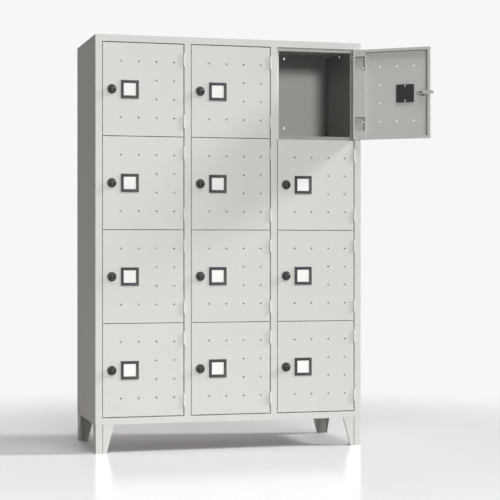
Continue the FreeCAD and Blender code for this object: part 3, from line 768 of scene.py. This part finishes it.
on_every_door("label_card", card, CARD_PAPER, "label_holder_")
clips = [block(local(lx - CLIP_HALF, KEEPER_FACE, lz + foot),
               local(lx + CLIP_HALF, KEEPER_FACE + CLIP_SHEET, lz + foot + CLIP_HEIGHT), 0.5)
         for foot in CLIP_FEET]
on_every_door("label_clips", joined(*clips), CLIP_STEEL, "label_holder_")


# ---------------------------------------------------------------------------
# Lock.  A black moulded rosette and a threaded barrel held by a hexagonal nut
# from inside; a round domed knob with a finger wing turns in it, and a zinc
# cam lever is screwed to the end of its spindle.
BLACK_LOCK = finish("lock black", (0.026, 0.025, 0.025), 0.36, mottle=0.12, mottle_scale=60.0,
                    grain_scale=3000.0, relief=0.12)
ZINC = finish("zinc plate", (0.74, 0.74, 0.73), 0.42, mottle=0.08, mottle_scale=70.0,
              grain_scale=2600.0, relief=0.10, metallic=0.35)
SCREW_DARK = finish("screw steel", (0.06, 0.06, 0.06), 0.35, mottle=0.1, mottle_scale=90.0,
                    grain_scale=3000.0, relief=0.1, metallic=0.7)
SPINDLE_BORE, ROSETTE_RADIUS, NUT_RADIUS, NUT_HEIGHT = 6.05, 20.3, 13.5, 5
KNOB_RADIUS, KNOB_FACE, DOME_BALL, DOME_CAP = 17.0, 9.4, 22, 13
WING, WING_MIDDLE = (7, 10, 33.6), 8.4
LEVER_FACE, LEVER_SHEET = 24, 3.0
cx, cz = LOCK_CENTRE
FORWARD = Matrix.Translation(local(cx, 0, cz)) @ Matrix.Rotation(math.radians(90), 4, "X")


def nose(profile, steps=48, close=False):
    """Turned part on the spindle line, from (radius, height in front)."""
    return moved(turned(profile, steps, close), FORWARD)


rosette = nose([(SPINDLE_BORE, 0), (SPINDLE_BORE, 3.0), (18.6, 3.0), (19.6, 2.7),
                (ROSETTE_RADIUS, 1.7), (ROSETTE_RADIUS, 0)], close=True)
barrel = nose([(SPINDLE_BORE, -22), (SPINDLE_BORE, 0.2), (9.4, 0.2), (9.4, -21.4), (8.9, -22)],
              close=True)
nut = bmesh.new()
bmesh.ops.create_circle(nut, segments=6, radius=NUT_RADIUS * MM, cap_ends=True,
                        matrix=Matrix.Translation(local(cx, SHEET, cz))
                        @ Matrix.Rotation(math.radians(90), 4, "X"))
made = bmesh.ops.extrude_face_region(nut, geom=nut.faces[:])["geom"]
bmesh.ops.translate(nut, verts=[g for g in made if isinstance(g, bmesh.types.BMVert)],
                    vec=local(0, NUT_HEIGHT, 0))
bmesh.ops.recalc_face_normals(nut, faces=nut.faces[:])
bmesh.ops.bevel(nut, geom=nut.edges[:], offset=0.5 * MM, offset_type="OFFSET", segments=2,
                profile=0.5, affect="EDGES", material=-1)
on_every_door("lock_rosette", joined(rosette, barrel, nut), BLACK_LOCK,
              "lock_housing_")

dome_sink = math.sqrt(DOME_BALL ** 2 - DOME_CAP ** 2)
dome = [(DOME_BALL * math.sin(a), KNOB_FACE + DOME_BALL * math.cos(a) - dome_sink)
        for a in (0.61, 0.52, 0.42, 0.32, 0.22, 0.11, 0.0)]
knob = nose([(0, -24), (5.9, -24), (6.0, -23.5), (6.0, 3.4), (16.6, 3.4), (KNOB_RADIUS, 3.8),
             (KNOB_RADIUS, 6.9), (16.8, 7.9), (16.3, 8.7), (15.5, 9.2), (14.5, KNOB_FACE),
             (13.4, KNOB_FACE)] + dome)
wing = bmesh.new()
bmesh.ops.create_cube(wing, size=1.0, matrix=Matrix.Translation(local(cx, -WING_MIDDLE, cz))
                      @ Matrix.Diagonal((*(size * MM for size in WING), 1)))
uprights = [e for e in wing.edges if abs(e.verts[0].co.y - e.verts[1].co.y) > 5 * MM]
bmesh.ops.bevel(wing, geom=uprights, offset=3.2 * MM, offset_type="OFFSET", segments=5,
                profile=0.5, affect="EDGES", material=-1)
front_edges = [e for e in wing.edges if all(v.co.y < -13 * MM for v in e.verts)]
bmesh.ops.bevel(wing, geom=front_edges, offset=1.4 * MM, offset_type="OFFSET", segments=3,
                profile=0.5, affect="EDGES", material=-1)
on_every_door("lock_knob", joined(knob, wing), BLACK_LOCK, "lock_rotor_",
              body="rotor_", turns=True)

lever = blank(*[local(cx + x, LEVER_FACE, cz + z) for x, z in
                ((-10, 4), (-10, 0), (-7, -22), (-7, -56), (7, -56), (7, -22), (10, 0), (10, 4))])
head_edge = [e for e in lever.edges if all(v.co.z > (cz + 3) * MM for v in e.verts)]
fold(lever, head_edge, lambda co: (-4.5 if co.x > cx * MM else 4.5, 0, 5.2))
tips = [v for v in lever.verts if v.co.z < (cz - 55) * MM or v.co.z > (cz + 8) * MM]
bmesh.ops.bevel(lever, geom=tips, offset=3 * MM, offset_type="OFFSET", segments=4, profile=0.5,
                affect="VERTICES", material=-1)
paint_side(lever, (0, -1, 0))
lever = give_wall(lever, LEVER_SHEET)
bmesh.ops.bevel(lever, geom=[e for e in lever.edges if len(e.link_faces) == 2
                             and e.calc_face_angle() > math.radians(60)],
                offset=0.35 * MM, offset_type="OFFSET", segments=2, profile=0.5,
                affect="EDGES", material=-1)
on_every_door("cam_lever", lever, ZINC, "lock_rotor_", body="rotor_", turns=True)
screw = nose([(0, -26.5), (4.4, -26.5), (4.5, -26.8), (4.5, -29.4), (3.9, -30.3), (2.2, -30.5),
              (1.8, -30.3), (1.8, -28.8), (0, -28.8)], steps=24)
on_every_door("cam_screw", screw, SCREW_DARK, "lock_rotor_",
              body="rotor_", turns=True)


# ---------------------------------------------------------------------------
# Studio.  A pale polished floor that fades into a white surround.  A low lamp
# straight in front, a soft one overhead and a strong one at the right light
# the cabinet; a warm fill behind its left side and one at the rear are weak.
floor_mesh = bmesh.new()
bmesh.ops.create_grid(floor_mesh, x_segments=1, y_segments=1, size=40.0)
floor = bpy.data.objects.new("floor", bpy.data.meshes.new("floor"))
floor_mesh.to_mesh(floor.data)
floor_mesh.free()
bpy.context.scene.collection.objects.link(floor)
ground = bpy.data.materials.new("floor")
ground.use_nodes = True
floor.data.materials.append(ground)
nodes, link = ground.node_tree.nodes, ground.node_tree.links.new
shader, output = nodes["Principled BSDF"], nodes["Material Output"]
shader.inputs["Roughness"].default_value = 0.16
shader.inputs["Specular IOR Level"].default_value = 0.35
shader.inputs["Emission Color"].default_value = (0.97, 0.98, 1, 1)
shader.inputs["Emission Strength"].default_value = 0.06
place, reach, fade, seen, tint, strength, glow, mixed = (nodes.new(kind) for kind in (
    "ShaderNodeTexCoord", "ShaderNodeVectorMath", "ShaderNodeMapRange", "ShaderNodeLightPath",
    "ShaderNodeMixRGB", "ShaderNodeMapRange", "ShaderNodeEmission", "ShaderNodeMixShader"))
reach.operation = "LENGTH"
fade.interpolation_type = "SMOOTHSTEP"
fade.inputs["From Min"].default_value = 1.2
fade.inputs["From Max"].default_value = 2.8
tint.inputs["Color1"].default_value = (0.42, 0.385, 0.37, 1)
tint.inputs["Color2"].default_value = (0.95, 0.955, 0.97, 1)
strength.inputs["To Min"].default_value = 0.25
strength.inputs["To Max"].default_value = 0.93
link(place.outputs["Object"], reach.inputs[0])
link(reach.outputs["Value"], fade.inputs["Value"])
link(seen.outputs["Is Camera Ray"], tint.inputs["Fac"])
link(tint.outputs["Color"], shader.inputs["Base Color"])
link(seen.outputs["Is Camera Ray"], strength.inputs["Value"])
link(strength.outputs["Result"], glow.inputs["Strength"])
link(fade.outputs["Result"], mixed.inputs["Fac"])
link(shader.outputs["BSDF"], mixed.inputs[1])
link(glow.outputs["Emission"], mixed.inputs[2])
link(mixed.outputs["Shader"], output.inputs["Surface"])

world = bpy.data.worlds.new("studio")
bpy.context.scene.world = world
world.use_nodes = True
nodes, link = world.node_tree.nodes, world.node_tree.links.new
output = nodes["World Output"]
ambient = nodes["Background"]
ambient.inputs["Color"].default_value = (1.0, 0.90, 0.85, 1)
ambient.inputs["Strength"].default_value = 0.16
white, seen, mixed = (nodes.new(kind) for kind in (
    "ShaderNodeBackground", "ShaderNodeLightPath", "ShaderNodeMixShader"))
white.inputs["Color"].default_value = (0.93, 0.93, 0.93, 1)
link(seen.outputs["Is Camera Ray"], mixed.inputs["Fac"])
link(ambient.outputs["Background"], mixed.inputs[1])
link(white.outputs["Background"], mixed.inputs[2])
link(mixed.outputs["Shader"], output.inputs["Surface"])

# bearing from straight in front, height and apparent size in degrees, power, colour
for name, bearing, height, spread, power, colour in (
        ("key", 0, 5, 8, 1.05, (1.0, 1.0, 0.975)),
        ("overhead", 10, 60, 35, 1.5, (0.98, 1.0, 1.0)),
        ("side", 79, 28, 10, 3.3, (0.99, 1.0, 1.0)),
        ("left", -115, 12, 60, 0.35, (1.0, 0.93, 0.88)),
        ("rear", 165, 35, 40, 0.5, (1.0, 1.0, 1.0))):
    lamp = bpy.data.lights.new(name, "SUN")
    lamp.angle, lamp.energy, lamp.color = math.radians(spread), power, colour
    stand = bpy.data.objects.new(name, lamp)
    turn, rise = math.radians(bearing), math.radians(height)
    source = Vector((math.sin(turn) * math.cos(rise), -math.cos(turn) * math.cos(rise),
                     math.sin(rise)))
    stand.location = source * 6
    stand.rotation_euler = source.to_track_quat("Z", "Y").to_euler()
    bpy.context.scene.collection.objects.link(stand)
bpy.context.scene.view_settings.view_transform = "Standard"
